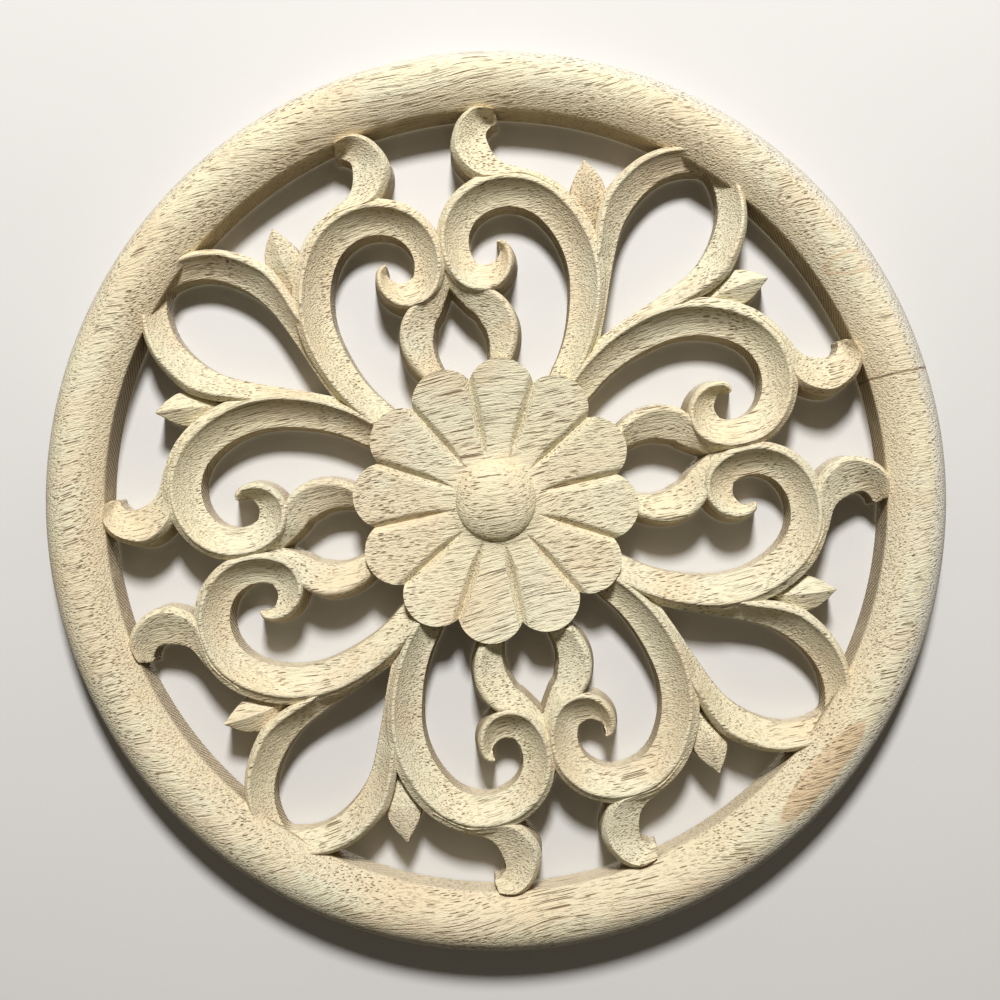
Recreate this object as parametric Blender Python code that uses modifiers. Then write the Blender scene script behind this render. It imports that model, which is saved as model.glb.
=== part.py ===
"""A round openwork panel carved from one glued-up board of pale hardwood.

A half-round rim holds four upright tulips and four pairs of C-scrolls, which
grow out of a twelve-petalled rosette.  The back is flat.  The panel stands in
the XZ plane, its face looks along -Y, and the origin is the middle of its
back.  A quarter of the ornament is carved and then mirrored twice.
"""

import math

import bmesh
import bpy
from mathutils import Matrix

MM = 0.001

# ---------------------------------------------------------------- main sizes
# All sizes below are in millimetres.  Depths are measured up from the back.
OUTER_RADIUS = 150.0
RIM_WIDTH = 21.0
THICKNESS = 18.0

RIM_INNER_RADIUS = OUTER_RADIUS - RIM_WIDTH
RIM_SEGMENTS = 80
RIM_CROWN_RADIUS = OUTER_RADIUS - 9.0
RIM_SHOULDER_DEPTH = THICKNESS - 9.0
RIM_LIP_DEPTH = THICKNESS - 4.4
RIM_INNER_STEPS = 3
RIM_OUTER_STEPS = 3

# The relief of the strands.
CREST_DEPTH = THICKNESS - 2.0
EDGE_DEPTH = THICKNESS - 3.4
COVE_DEPTH = THICKNESS - 5.2
COVE_EDGE_DEPTH = THICKNESS - 4.6
COVE_BOTTOM_SHARE = 0.3
LIP_WIDTH = 2.3

# The rosette.
PETALS = 12
PETAL_TURN = 2.0 * math.pi / PETALS
PETAL_END_RADIUS = 11.2
PETAL_END_CENTRE = 36.0
PETAL_RIM_DEPTH = THICKNESS - 2.4
PETAL_DISH_DEPTH = THICKNESS - 3.8
PETAL_DISH_PLACE = 0.45
PETAL_STEPS = 3
GROOVE_DEPTH = 1.7
GROOVE_HALF_WIDTH = 1.2
GROOVE_LARGEST_SHARE = 0.4
GROOVE_FIRST_PHASE = 0.12
GROOVE_LAST_PHASE = 0.82
DOME_RADIUS = 13.3
DOME_RISE = THICKNESS - PETAL_DISH_DEPTH
DOME_STEPS = 3
PETAL_COLUMNS = (-1.0, -0.8, -0.4, 0.0, 0.4, 0.8)
GROOVE_COLUMN = 1.0
GROOVE_SIDE_COLUMN = 0.8

# Falls from a strand's crest to its outer edge.
ARM_EDGE_FALL = 1.3
ROOT_OUTER_FALL = 1.2
ROOT_INNER_FALL = 1.0
LEAF_EDGE_FALL = 1.2
BUD_EDGE_FALL = 2.0
BUD_FALL_PER_WIDTH = 0.45

# The hollow of a tulip's side: how far across it lies and how far up.
ARM_HOLLOW_PLACE = 0.55
ARM_HOLLOW_HEIGHT = 0.35

LEAF_STEPS = 2
LEAF_LIP_SHARE = 0.25

# The carved quarter is drawn with a tulip upright and then turned by this.
QUARTER_TILT = math.radians(45.0)
SAME_PLACE = 0.00002
FLAT_ANGLE = math.radians(0.3)


# ------------------------------------------------------------------ geometry
def arc_path(start, heading, legs):
    """Points and headings of a chain of arcs; a leg is (radius, turn, steps).

    A turn is in degrees, positive to the left.  The third value returned
    counts the legs, so that sizes can be blended between their ends.
    """
    x, y = start
    angle = math.radians(heading)
    places = [(x, y, angle, 0.0)]
    for number, (radius, turn, steps) in enumerate(legs):
        sweep = math.radians(turn)
        sign = 1.0 if turn > 0 else -1.0
        centre_x = x - sign * radius * math.sin(angle)
        centre_y = y + sign * radius * math.cos(angle)
        for step in range(1, steps + 1):
            part = step / steps
            here = angle + sweep * part
            x = centre_x + sign * radius * math.sin(here)
            y = centre_y - sign * radius * math.cos(here)
            places.append((x, y, here, number + part))
        angle += sweep
    return places


def blend(values, place):
    """A smooth value between numbers given at the whole places 0, 1, 2 ..."""
    last = len(values) - 1
    index = min(int(place), last - 1)
    part = place - index
    before = values[max(index - 1, 0)]
    left = values[index]
    right = values[index + 1]
    after = values[min(index + 2, last)]
    slope_left = (right - before) / 2.0
    slope_right = (after - left) / 2.0
    square = part * part
    cube = square * part
    return (
        (2 * cube - 3 * square + 1) * left
        + (cube - 2 * square + part) * slope_left
        + (3 * square - 2 * cube) * right
        + (cube - square) * slope_right
    )


def straight(values, place):
    """A value between numbers given at whole places, in straight lines."""
    index = min(int(place), len(values) - 2)
    part = place - index
    return values[index] * (1 - part) + values[index + 1] * part


def curve_through(points, steps):
    """A smooth curve through a few points, with some steps between them."""
    count = (len(points) - 1) * steps
    across = [point[0] for point in points]
    along = [point[1] for point in points]
    return [(blend(across, i / steps), blend(along, i / steps)) for i in range(count + 1)]


def beside(place, offset):
    """The point at a distance to the right of a path."""
    x, y, heading, _ = place
    return x + offset * math.sin(heading), y - offset * math.cos(heading)


def between(left, right, share):
    return (
        left[0] + (right[0] - left[0]) * share,
        left[1] + (right[1] - left[1]) * share,
    )


# ----------------------------------------------------------------- modelling
def clear_scene():
    for item in list(bpy.data.objects):
        bpy.data.objects.remove(item, do_unlink=True)


def finish_mesh(mesh_maker, name):
    """Close, orient and hand over a mesh as a new object."""
    bmesh.ops.recalc_face_normals(mesh_maker, faces=mesh_maker.faces)
    mesh = bpy.data.meshes.new(name)
    mesh_maker.to_mesh(mesh)
    mesh_maker.free()
    item = bpy.data.objects.new(name, mesh)
    bpy.context.scene.collection.objects.link(item)
    return item


def loft(name, rungs, side):
    """A closed solid over a row of rungs.

    Each rung is a row of (across, up, depth) on the face, from one edge of the
    strand to the other; walls drop from both edges to the flat back.
    """
    maker = bmesh.new()
    turn = Matrix.Rotation(QUARTER_TILT, 4, "Y")
    rings = []
    for rung in rungs:
        first = rung[0]
        last = rung[-1]
        row = [(first[0], first[1], 0.0)] + list(rung) + [(last[0], last[1], 0.0)]
        rings.append(
            [maker.verts.new((side * u * MM, -depth * MM, v * MM)) for u, v, depth in row]
        )
    count = len(rings[0])
    for near, far in zip(rings, rings[1:]):
        for i in range(count):
            j = (i + 1) % count
            maker.faces.new((near[i], near[j], far[j], far[i]))
    maker.faces.new(rings[0])
    maker.faces.new(rings[-1])
    bmesh.ops.transform(maker, matrix=turn, verts=maker.verts)
    bmesh.ops.triangulate(maker, faces=maker.faces)
    return finish_mesh(maker, name)


def scroll(side):
    """A C-scroll: a lip outside, and a cove that rises to the inner edge."""
    legs = [
        (400.0, -1.0, 1),
        (62.0, -28.0, 3),
        (39.5, -51.0, 4),
        (24.5, -84.0, 5),
        (19.7, -95.0, 5),
        (9.8, -42.0, 2),
        (9.8, -42.0, 2),
        (9.8, -42.0, 3),
        (9.8, -39.0, 2),
        (3.0, -50.0, 1),
    ]
    inner = [7.2, 7.8, 10.0, 10.9, 11.0, 8.9, 9.0, 8.1, 6.0, 2.9, 0.6]
    lip = [1.6, 1.8, 1.6, 2.6, LIP_WIDTH, 1.9, 2.2, 2.6, 2.4, 1.2, 0.3]
    sink = [2.6, 0.8, 0.0, 0.0, 0.0, 0.0, 0.0, 0.2, 0.4, 0.8, 1.0]
    rungs = []
    for place in arc_path((0.85, 41.5), 90.0, legs):
        width = blend(inner, place[3])
        outside = beside(place, -blend(lip, place[3]))
        crest = beside(place, 0.0)
        bottom = beside(place, width * COVE_BOTTOM_SHARE)
        edge = beside(place, width)
        fade = min(1.0, width / inner[0])
        high = CREST_DEPTH - blend(sink, place[3])
        floor = high + (COVE_DEPTH - CREST_DEPTH) * fade
        inside = high + (COVE_EDGE_DEPTH - CREST_DEPTH) * fade
        rungs.append(
            [
                (*outside, high + EDGE_DEPTH - CREST_DEPTH),
                (*crest, high),
                (*bottom, floor),
                (*edge, inside),
            ]
        )
    return loft("scroll", rungs, side)


def tulip_arm(side):
    """One side of a tulip, laid out from the edge of the tulip's opening."""
    legs = [
        (400.0, -1.65, 1),
        (400.0, -1.4, 2),
        (400.0, -1.0, 1),
        (300.0, 3.0, 3),
        (25.4, 38.0, 4),
        (29.8, 39.0, 3),
        (60.0, 6.0, 1),
    ]
    crest_offset = [3.8, 3.1, 3.3, 4.7, 7.4, 8.8, 9.6, 9.6]
    lip = [0.3, 0.3, 0.3, 0.3, 1.6, 2.4, 2.2, 2.0]
    hole_depth = [10.6, 13.7, 13.6, 13.3, 13.0, 12.8, 12.2, 12.0]
    crest_depth = [12.8, 15.4, 15.7, 15.8, 16.0, 15.8, 13.6, 13.2]
    rungs = []
    for place in arc_path((-4.1, 53.6), 70.4, legs):
        offset = straight(crest_offset, place[3])
        low = blend(hole_depth, place[3])
        high = blend(crest_depth, place[3])
        hollow = low + (high - low) * ARM_HOLLOW_HEIGHT
        outer = offset + straight(lip, place[3])
        rungs.append(
            [
                (*beside(place, 0.0), low),
                (*beside(place, offset * ARM_HOLLOW_PLACE), hollow),
                (*beside(place, offset), high),
                (*beside(place, outer), high - ARM_EDGE_FALL),
            ]
        )
    return loft("tulip_arm", rungs, side)


def root_strand(side):
    """The S-shaped strand from under the petals to the foot of the scroll."""
    legs = [
        (90.0, -5.0, 1),
        (19.3, -27.0, 2),
        (14.0, -80.0, 5),
        (11.4, 33.0, 2),
        (11.4, 32.0, 2),
    ]
    right = [4.6, 6.4, 8.2, 8.6, 4.7, 3.6]
    left = [2.0, 2.0, 2.0, 1.6, 1.0, 0.6]
    crest_depth = [13.4, 14.6, 14.8, 14.0, 13.4, 13.2]
    rungs = []
    for place in arc_path((22.9, 34.2), 87.5, legs):
        high = blend(crest_depth, place[3])
        rungs.append(
            [
                (*beside(place, -blend(left, place[3])), high - ROOT_OUTER_FALL),
                (*beside(place, 0.0), high),
                (*beside(place, blend(right, place[3])), high - ROOT_INNER_FALL),
            ]
        )
    return loft("root_strand", rungs, side)


def hook_leaf(side):
    """The leaf that swings off the scroll to the rim and ends in a small barb."""
    left = [
        (38.0, 99.0),
        (49.5, 98.4),
        (60.0, 96.0),
        (66.2, 98.8),
        (66.6, 102.6),
        (65.2, 104.4),
        (67.6, 107.0),
    ]
    right = [
        (38.0, 97.8),
        (50.5, 95.6),
        (62.0, 86.4),
        (73.8, 88.6),
        (78.5, 97.5),
        (76.6, 104.8),
        (70.6, 107.7),
    ]
    left_depth = [14.5, 14.8, 15.0, 15.3, 15.4, 15.4, 15.4]
    right_depth = [15.2, 15.4, 15.6, 15.9, 15.9, 15.8, 15.6]
    sides = zip(curve_through(left, LEAF_STEPS), curve_through(right, LEAF_STEPS))
    rungs = []
    for index, (near, far) in enumerate(sides):
        place = index / LEAF_STEPS
        low = blend(left_depth, place)
        high = blend(right_depth, place)
        span = math.dist(near, far)
        lip = min(LIP_WIDTH, span * LEAF_LIP_SHARE)
        crest = between(near, far, 1.0 - lip / span)
        rungs.append(
            [
                (*near, low),
                (*crest, high),
                (*far, high - LEAF_EDGE_FALL),
            ]
        )
    return loft("hook_leaf", rungs, side)


def bud(side):
    """The pointed leaf in the fork between the tulip and the scroll."""
    turns = (-4.0, -2.5, -2.2, -1.8, -1.2)
    legs = [(120.0, turn, 1) for turn in turns]
    half_width = [2.6, 4.8, 6.0, 5.2, 3.2, 0.4]
    rib_depth = [12.6, 13.6, 14.6, 14.4, 13.9, 13.2]
    rungs = []
    for place in arc_path((20.8, 90.6), 59.0, legs):
        half = blend(half_width, place[3])
        high = blend(rib_depth, place[3])
        low = high - min(BUD_EDGE_FALL, half * BUD_FALL_PER_WIDTH)
        rungs.append(
            [
                (*beside(place, -half), low),
                (*beside(place, 0.0), high),
                (*beside(place, half), low),
            ]
        )
    return loft("bud", rungs, side)


def rim():
    """The half-round moulding, turned about the panel's axis."""
    profile = [(RIM_INNER_RADIUS, 0.0), (RIM_INNER_RADIUS, RIM_LIP_DEPTH)]
    inner_run = RIM_CROWN_RADIUS - RIM_INNER_RADIUS
    for step in range(1, RIM_INNER_STEPS + 1):
        share = 1.0 - step / RIM_INNER_STEPS
        fall = (THICKNESS - RIM_LIP_DEPTH) * share * share
        profile.append((RIM_CROWN_RADIUS - inner_run * share, THICKNESS - fall))
    for step in range(1, RIM_OUTER_STEPS + 1):
        angle = math.radians(90.0) * step / RIM_OUTER_STEPS
        run = (OUTER_RADIUS - RIM_CROWN_RADIUS) * math.sin(angle)
        rise = (THICKNESS - RIM_SHOULDER_DEPTH) * math.cos(angle)
        profile.append((RIM_CROWN_RADIUS + run, RIM_SHOULDER_DEPTH + rise))
    profile.append((OUTER_RADIUS, 0.0))
    maker = bmesh.new()
    corners = [maker.verts.new((radius * MM, -depth * MM, 0.0)) for radius, depth in profile]
    edges = [maker.edges.new((a, b)) for a, b in zip(corners, corners[1:] + corners[:1])]
    bmesh.ops.spin(
        maker,
        geom=corners + edges,
        cent=(0.0, 0.0, 0.0),
        axis=(0.0, 1.0, 0.0),
        angle=math.tau,
        steps=RIM_SEGMENTS,
        use_merge=True,
    )
    bmesh.ops.triangulate(maker, faces=maker.faces)
    return finish_mesh(maker, "rim")


def petal_end(offset):
    """Radius of the petal's rounded end, at an angle from the petal's middle."""
    reach = PETAL_END_CENTRE * math.cos(offset)
    aside = PETAL_END_CENTRE * math.sin(offset)
    return reach + math.sqrt(PETAL_END_RADIUS**2 - aside**2)


def petal_depth(share):
    """Depth of the petal between the dome and the rim; the petal is dished."""
    if share < PETAL_DISH_PLACE:
        return PETAL_DISH_DEPTH
    rise = (share - PETAL_DISH_PLACE) / (1.0 - PETAL_DISH_PLACE)
    return PETAL_DISH_DEPTH + (PETAL_RIM_DEPTH - PETAL_DISH_DEPTH) * rise * rise


def rosette():
    """Twelve petals round a dome, as rings of points that grow outward."""
    maker = bmesh.new()
    half_turn = PETAL_TURN / 2.0
    columns = []
    for petal in range(PETALS):
        middle = (petal + 0.5) * PETAL_TURN
        for kind in PETAL_COLUMNS:
            columns.append((middle, kind))
    rings = []
    foot_depth = petal_depth(0.0)
    for step in range(1, DOME_STEPS):
        angle = math.radians(90.0) * step / DOME_STEPS
        radius = DOME_RADIUS * math.sin(angle)
        depth = foot_depth + DOME_RISE * math.cos(angle)
        rings.append([(radius, middle + kind * half_turn, depth) for middle, kind in columns])
    for step in range(PETAL_STEPS + 1):
        share = step / PETAL_STEPS
        ring = []
        for middle, kind in columns:
            offset = kind * half_turn
            radius = DOME_RADIUS + (petal_end(abs(offset)) - DOME_RADIUS) * share
            depth = petal_depth(share)
            if abs(kind) == GROOVE_SIDE_COLUMN:
                aside = min(GROOVE_LARGEST_SHARE, GROOVE_HALF_WIDTH / (radius * half_turn))
                offset = math.copysign(half_turn * (1.0 - aside), kind)
                radius = DOME_RADIUS + (petal_end(abs(offset)) - DOME_RADIUS) * share
            if abs(kind) == GROOVE_COLUMN:
                phase = GROOVE_FIRST_PHASE + (GROOVE_LAST_PHASE - GROOVE_FIRST_PHASE) * share
                depth -= GROOVE_DEPTH * math.sin(math.pi * phase)
            ring.append((radius, middle + offset, depth))
        rings.append(ring)
    rings.append([(radius, angle, 0.0) for radius, angle, _ in rings[-1]])
    top = maker.verts.new((0.0, -(foot_depth + DOME_RISE) * MM, 0.0))
    back = maker.verts.new((0.0, 0.0, 0.0))
    rows = []
    for ring in rings:
        rows.append(
            [
                maker.verts.new(
                    (radius * math.cos(angle) * MM, -depth * MM, radius * math.sin(angle) * MM)
                )
                for radius, angle, depth in ring
            ]
        )
    count = len(columns)
    for i in range(count):
        j = (i + 1) % count
        maker.faces.new((top, rows[0][i], rows[0][j]))
        maker.faces.new((back, rows[-1][j], rows[-1][i]))
        for near, far in zip(rows, rows[1:]):
            maker.faces.new((near[i], far[i], far[j], near[j]))
    bmesh.ops.triangulate(maker, faces=maker.faces)
    return finish_mesh(maker, "rosette")


def join_solids(base, others):
    """Grow one solid out of several by exact unions."""
    for other in others:
        union = base.modifiers.new("join", "BOOLEAN")
        union.operation = "UNION"
        union.solver = "EXACT"
        union.object = other
        apply_modifiers(base)
        bpy.data.objects.remove(other, do_unlink=True)


def apply_modifiers(item):
    """Bake the modifiers of an object into its mesh."""
    bpy.context.view_layer.update()
    graph = bpy.context.evaluated_depsgraph_get()
    baked = bpy.data.meshes.new_from_object(item.evaluated_get(graph))
    item.modifiers.clear()
    item.data = baked


def mirror_quarter(item):
    """Keep the quarter towards +X and +Z and mirror it across both planes."""
    mirror = item.modifiers.new("mirror", "MIRROR")
    mirror.use_axis = (True, False, True)
    mirror.use_bisect_axis = (True, False, True)
    mirror.use_clip = True
    mirror.use_mirror_merge = True
    mirror.merge_threshold = SAME_PLACE
    mirror.bisect_threshold = SAME_PLACE / 10.0
    apply_modifiers(item)


def clean(item):
    """Weld stray doubles, run flat neighbours together, leave triangles only."""
    maker = bmesh.new()
    maker.from_mesh(item.data)
    bmesh.ops.remove_doubles(maker, verts=maker.verts, dist=SAME_PLACE)
    bmesh.ops.dissolve_degenerate(maker, edges=maker.edges, dist=SAME_PLACE)
    flat = {face for face in maker.faces if all(abs(v.co.y) < SAME_PLACE for v in face.verts)}
    bmesh.ops.dissolve_limit(
        maker,
        angle_limit=FLAT_ANGLE,
        verts=[v for v in maker.verts if all(face in flat for face in v.link_faces)],
        edges=[e for e in maker.edges if all(face in flat for face in e.link_faces)],
    )
    bmesh.ops.triangulate(maker, faces=maker.faces)
    bmesh.ops.recalc_face_normals(maker, faces=maker.faces)
    maker.to_mesh(item.data)
    maker.free()


def wood(item):
    """Raw sanded pale hardwood."""
    material = bpy.data.materials.new("raw_pale_hardwood")
    material.use_nodes = True
    shader = material.node_tree.nodes["Principled BSDF"]
    shader.inputs["Base Color"].default_value = (0.72, 0.58, 0.40, 1.0)
    shader.inputs["Roughness"].default_value = 0.7
    shader.inputs["Metallic"].default_value = 0.0
    item.data.materials.clear()
    item.data.materials.append(material)


def main():
    clear_scene()
    panel = rim()
    pieces = [rosette()]
    for side in (1.0, -1.0):
        pieces += [tulip_arm(side), bud(side), hook_leaf(side), root_strand(side), scroll(side)]
    join_solids(panel, pieces)
    mirror_quarter(panel)
    clean(panel)
    panel.name = "carved_panel"
    wood(panel)
    collection = bpy.data.collections.new("carved_wood_applique")
    bpy.context.scene.collection.children.link(collection)
    for owner in list(panel.users_collection):
        owner.objects.unlink(panel)
    collection.objects.link(panel)


main()
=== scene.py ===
# %% [markdown]
# # A carved wooden applique
# The packed model is the fixed frame for everything below.  It is loaded first, and its
# box gives every size, so that the finished carving lies exactly where the plain solid is.

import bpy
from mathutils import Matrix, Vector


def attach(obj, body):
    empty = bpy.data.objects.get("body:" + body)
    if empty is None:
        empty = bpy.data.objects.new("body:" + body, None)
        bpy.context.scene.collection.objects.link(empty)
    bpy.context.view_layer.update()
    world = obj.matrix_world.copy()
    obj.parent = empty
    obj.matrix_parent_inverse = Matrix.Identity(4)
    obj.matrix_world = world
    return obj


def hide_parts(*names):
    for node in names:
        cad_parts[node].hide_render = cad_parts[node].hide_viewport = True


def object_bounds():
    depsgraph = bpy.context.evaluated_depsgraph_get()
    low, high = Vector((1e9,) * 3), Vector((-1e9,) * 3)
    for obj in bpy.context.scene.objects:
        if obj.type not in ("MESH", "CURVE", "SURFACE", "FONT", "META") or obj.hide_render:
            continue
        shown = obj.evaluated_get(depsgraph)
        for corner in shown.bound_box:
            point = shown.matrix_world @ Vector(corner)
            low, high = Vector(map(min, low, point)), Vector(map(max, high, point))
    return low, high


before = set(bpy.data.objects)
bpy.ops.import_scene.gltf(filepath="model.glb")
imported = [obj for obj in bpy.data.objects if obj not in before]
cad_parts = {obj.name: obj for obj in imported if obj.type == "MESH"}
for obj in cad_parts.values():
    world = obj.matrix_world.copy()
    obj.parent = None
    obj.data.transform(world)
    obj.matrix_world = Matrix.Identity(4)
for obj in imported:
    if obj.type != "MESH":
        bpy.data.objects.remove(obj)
print("frame loaded")

# %% [markdown]
# ## Sizes
# The solid is a round panel, so its box gives two sizes: the radius of the rim and the
# thickness of the board.  All other sizes in this lesson are millimetres of that panel.

# %% Sizes from the frame
import math

import bmesh
import bpy
from mathutils import Matrix, Vector

cad_low, cad_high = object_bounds()
OUTER_RADIUS = (cad_high.x - cad_low.x) / 2.0
THICKNESS = cad_high.y - cad_low.y
MM = OUTER_RADIUS / 150.0
DEEP = THICKNESS / MM
print(f"panel {2 * OUTER_RADIUS:.3f} m across, {THICKNESS:.3f} m deep")

# %% [markdown]
# ## How the carving is laid out
# The real panel is sawn out of one board and then carved strand by strand.  Each strand
# follows a chain of arcs, as a carver would set it out with compasses, and it has a
# section that swells and tapers along the way.  Sizes are in millimetres of a panel
# 300 mm across, and a depth is measured up from the flat back.

# %% Setting out with arcs
STEP = 1.25
STEP_ON_TIGHT_ARC = 0.07


def arc_chain(start, heading, legs, step=STEP):
    """Places (x, y, heading, leg) along arcs; a leg is (radius, turn in degrees)."""
    x, y = start
    angle = math.radians(heading)
    places = [(x, y, angle, 0.0)]
    for number, (radius, turn) in enumerate(legs):
        sweep = math.radians(turn)
        sign = 1.0 if turn > 0 else -1.0
        centre_x = x - sign * radius * math.sin(angle)
        centre_y = y + sign * radius * math.cos(angle)
        spacing = min(step, radius * STEP_ON_TIGHT_ARC)
        count = max(2, math.ceil(radius * abs(sweep) / spacing))
        for tick in range(1, count + 1):
            part = tick / count
            here = angle + sweep * part
            x = centre_x + sign * radius * math.sin(here)
            y = centre_y - sign * radius * math.cos(here)
            places.append((x, y, here, number + part))
        angle += sweep
    return places


def blend(values, place):
    """A smooth value between numbers given at the ends of the legs."""
    last = len(values) - 1
    index = min(int(place), last - 1)
    part = place - index
    left = values[index]
    right = values[index + 1]
    slope_left = (right - values[max(index - 1, 0)]) / 2.0
    slope_right = (values[min(index + 2, last)] - left) / 2.0
    square = part * part
    cube = square * part
    return (
        (2 * cube - 3 * square + 1) * left
        + (cube - 2 * square + part) * slope_left
        + (3 * square - 2 * cube) * right
        + (cube - square) * slope_right
    )


def beside(place, offset):
    """The point at a distance to the right of a path."""
    x, y, heading, _ = place
    return x + offset * math.sin(heading), y - offset * math.cos(heading)


def mix(low, high, share):
    """The value a share of the way from low to high."""
    return low + (high - low) * share


print(f"a quarter turn of 20 mm radius is set out with {len(arc_chain((0, 0), 0, [(20, 90)]))} places")


# %% [markdown]
# ## Sections
# A section is a row of (offset, depth) corners across a strand.  A gouge and sandpaper
# leave no knife edge, so each corner is filed round by a small named radius.

# %% Filing the corners of a section
CORNER_STEPS = 2
LARGEST_CUT = 0.45


def filed(corners):
    """Round the corners of a section; each is (offset, depth, radius of the filing)."""
    row = [corners[0][:2]]
    for before, here, after in zip(corners, corners[1:], corners[2:]):
        radius = here[2]
        middle = Vector(here[:2])
        towards_start = Vector(before[:2]) - middle
        towards_end = Vector(after[:2]) - middle
        if radius == 0.0:
            row.append(tuple(middle))
            continue
        cut_start = min(radius, towards_start.length * LARGEST_CUT)
        cut_end = min(radius, towards_end.length * LARGEST_CUT)
        first = middle + towards_start.normalized() * cut_start
        last = middle + towards_end.normalized() * cut_end
        for tick in range(CORNER_STEPS + 1):
            share = tick / CORNER_STEPS
            near = first.lerp(middle, share)
            far = middle.lerp(last, share)
            row.append(tuple(near.lerp(far, share)))
    row.append(corners[-1][:2])
    return row


print(f"one filed corner: {filed([(0, 0, 0), (0, 5, 0.5), (5, 5, 0)])[1:-1]}")


# %% [markdown]
# ## From sections to a solid strand
# A flat grid is the blank.  Its rows are bent along the path, its columns take the
# section, its border is pulled straight down to the back, and the back is closed.

# %% A strand from a grid
QUARTER_TILT = math.radians(45.0)
LEAN = 0.5
RIDGE_DROP = 0.9


def run_of(rungs):
    """How far along a strand each of its rungs lies."""
    middle = len(rungs[0]) // 2
    travelled = [0.0]
    for before, here in zip(rungs, rungs[1:]):
        travelled.append(travelled[-1] + math.dist(before[middle][:2], here[middle][:2]))
    return travelled


def strand(name, rungs, side, leans=(LEAN, LEAN)):
    """A closed solid whose face runs over rungs of (across, up, depth) points.

    The walls at the two ends of the rungs lean outwards towards the back.
    """
    rows = len(rungs)
    columns = len(rungs[0])
    maker = bmesh.new()
    bmesh.ops.create_grid(maker, x_segments=columns - 1, y_segments=rows - 1, size=1.0)
    run_layer = maker.verts.layers.float.new("run")
    ridge_layer = maker.verts.layers.float.new("ridge")
    travelled = run_of(rungs)
    leaning = {}
    for vert in maker.verts:
        column = round((vert.co.x + 1.0) / 2.0 * (columns - 1))
        row = round((vert.co.y + 1.0) / 2.0 * (rows - 1))
        rung = rungs[row]
        across, up, depth = rung[column]
        vert.co = (side * across * MM, -depth * MM, up * MM)
        vert[run_layer] = travelled[row]
        vert[ridge_layer] = max(0.0, 1.0 - (max(point[2] for point in rung) - depth) / RIDGE_DROP)
        if column in (0, columns - 1):
            start = rung[columns - 1 - column]
            outwards = Vector((side * (across - start[0]), 0.0, up - start[1])).normalized()
            leaning[vert] = outwards * leans[0 if column == 0 else 1] * MM
    border = [edge for edge in maker.edges if edge.is_boundary]
    pulled = bmesh.ops.extrude_edge_only(maker, edges=border)["geom"]
    for vert in pulled:
        if isinstance(vert, bmesh.types.BMVert):
            vert.co.y = 0.0
            for edge in vert.link_edges:
                vert.co += leaning.get(edge.other_vert(vert), Vector())
    border = [edge for edge in maker.edges if edge.is_boundary]
    bmesh.ops.holes_fill(maker, edges=border, sides=len(border))
    turn = Matrix.Rotation(QUARTER_TILT, 4, "Y")
    bmesh.ops.transform(maker, matrix=turn, verts=maker.verts)
    bmesh.ops.triangulate(maker, faces=maker.faces)
    print(f"{name}: {rows} by {columns} points, {travelled[-1]:.0f} mm long")
    return as_object(maker, name)


def as_object(maker, name):
    """Hand a finished bmesh over as an object in the scene."""
    bmesh.ops.recalc_face_normals(maker, faces=maker.faces)
    mesh = bpy.data.meshes.new(name)
    maker.to_mesh(mesh)
    maker.free()
    item = bpy.data.objects.new(name, mesh)
    bpy.context.scene.collection.objects.link(item)
    return item


print(f"walls lean outwards by {LEAN} mm towards the back")


# %% [markdown]
# ## The C-scroll
# A rounded bead, 2 mm wide, runs along the scroll.  Outside it lies a narrow sloping band,
# and inside it a cove, steep like a quarter pipe at first and then easing down to the
# inner edge.  Bead and cove follow the curl round and die out in a comma-shaped tip.
# It could be swept with one fixed section, but the real one swells and thins, so every
# rung has a section of its own: the lists give its measures at the ends of the arcs.

# %% Scrolls
SOFT = 0.45
CRISP = 0.3
CREST = DEEP - 2.0
COVE_STEPS = 8
COVE_POWER = 1.75
COVE_CROWDING = 1.2
FULL_BEAD_WIDTH = 4.0
BEAD_HALF = 0.95
BEAD_TOP = 0.45
BEAD_DROP = 0.9
BAND_DROP = 2.0
LEAST_BAND = 0.05
CURL_LEAN = 1.2
SCROLL_LEGS = [
    (400.0, -1.0),
    (62.0, -28.0),
    (39.5, -51.0),
    (24.5, -84.0),
    (19.7, -90.0),
    (9.8, -43.5),
    (9.8, -43.5),
    (10.3, -43.5),
    (9.8, -27.0),
    (3.3, -50.0),
    (3.3, -30.0),
]
SCROLL_PATH = arc_chain((0.85, 41.5), 90.0, SCROLL_LEGS)
print(f"scroll: {len(SCROLL_PATH)} places along {len(SCROLL_LEGS)} arcs")


def crest(place):
    """Depth of the scroll's ridge along its path."""
    sink = [2.6, 0.8, 0.0, 0.0, 0.0, 0.0, 0.2, 0.6, 1.2, 2.0, 2.4, 3.0]
    return CREST - blend(sink, place)


def bead_middle(place):
    """Where the middle of the bead lies, to the right of the path."""
    middle = [-0.6, -0.55, 0.45, 1.2, 0.55, -0.1, -0.6, -0.9, -0.3, 0.2, 0.3, 0.1]
    return blend(middle, place)


def cove(start, end, high, low):
    """Points of the cove, from the foot of the bead to the inner edge."""
    points = []
    for tick in range(1, COVE_STEPS + 1):
        share = (tick / COVE_STEPS) ** COVE_CROWDING
        points.append((mix(start, end, share), mix(low, high, (1.0 - share) ** COVE_POWER)))
    return points


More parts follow.
